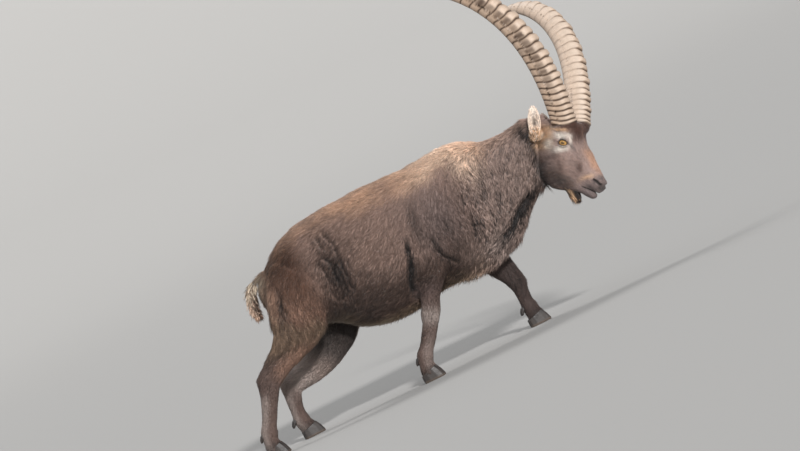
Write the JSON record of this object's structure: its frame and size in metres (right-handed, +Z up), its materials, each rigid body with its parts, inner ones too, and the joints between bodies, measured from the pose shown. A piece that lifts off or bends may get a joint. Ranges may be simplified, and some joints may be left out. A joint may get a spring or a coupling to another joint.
{
  "type": "alpine ibex",
  "caption": "Life-size standing adult male alpine ibex with long ridged back-curved horns, short beard and tufted tail.",
  "frame": {"origin": "on the floor under the middle of the model's box", "axes": "+X towards the head, +Y to the animal's left, +Z up"},
  "size_m": [1.6834, 0.693, 1.279],
  "materials": {
    "coat": "short dense chocolate to grey-brown winter hair, paler and warmer along the back",
    "leg_hair": "short flat dark grey-brown hair",
    "tail_hair": "cream and dark brown tufted hair",
    "ear_hair": "thin tan hair outside, pale hair inside",
    "horn": "dry tan-grey horn with dark brown grooves between ridges",
    "claw": "worn dark grey horn",
    "eye": "wet amber iris with a dark level pupil"
  },
  "bodies": {
    "root": {"torso": "coat", "neck": "coat", "head": "coat", "tail": "tail_hair", "ear_left": "ear_hair", "eye_left": "eye", "horn_left": "horn", "ear_right": "ear_hair", "eye_right": "eye", "horn_right": "horn", "fore_arm_left": "leg_hair", "fore_cannon_left": "leg_hair", "hind_thigh_left": "coat", "hind_shank_left": "leg_hair", "hind_cannon_left": "leg_hair", "hoof_fore_left_inner": "claw", "dewclaw_fore_left_inner": "claw", "hoof_fore_left_outer": "claw", "dewclaw_fore_left_outer": "claw", "hoof_hind_left_inner": "claw", "dewclaw_hind_left_inner": "claw", "hoof_hind_left_outer": "claw", "dewclaw_hind_left_outer": "claw", "fore_arm_right": "leg_hair", "fore_cannon_right": "leg_hair", "hind_thigh_right": "coat", "hind_shank_right": "leg_hair", "hind_cannon_right": "leg_hair", "hoof_fore_right_inner": "claw", "dewclaw_fore_right_inner": "claw", "hoof_fore_right_outer": "claw", "dewclaw_fore_right_outer": "claw", "hoof_hind_right_inner": "claw", "dewclaw_hind_right_inner": "claw", "hoof_hind_right_outer": "claw", "dewclaw_hind_right_outer": "claw"}
  },
  "joints": []
}
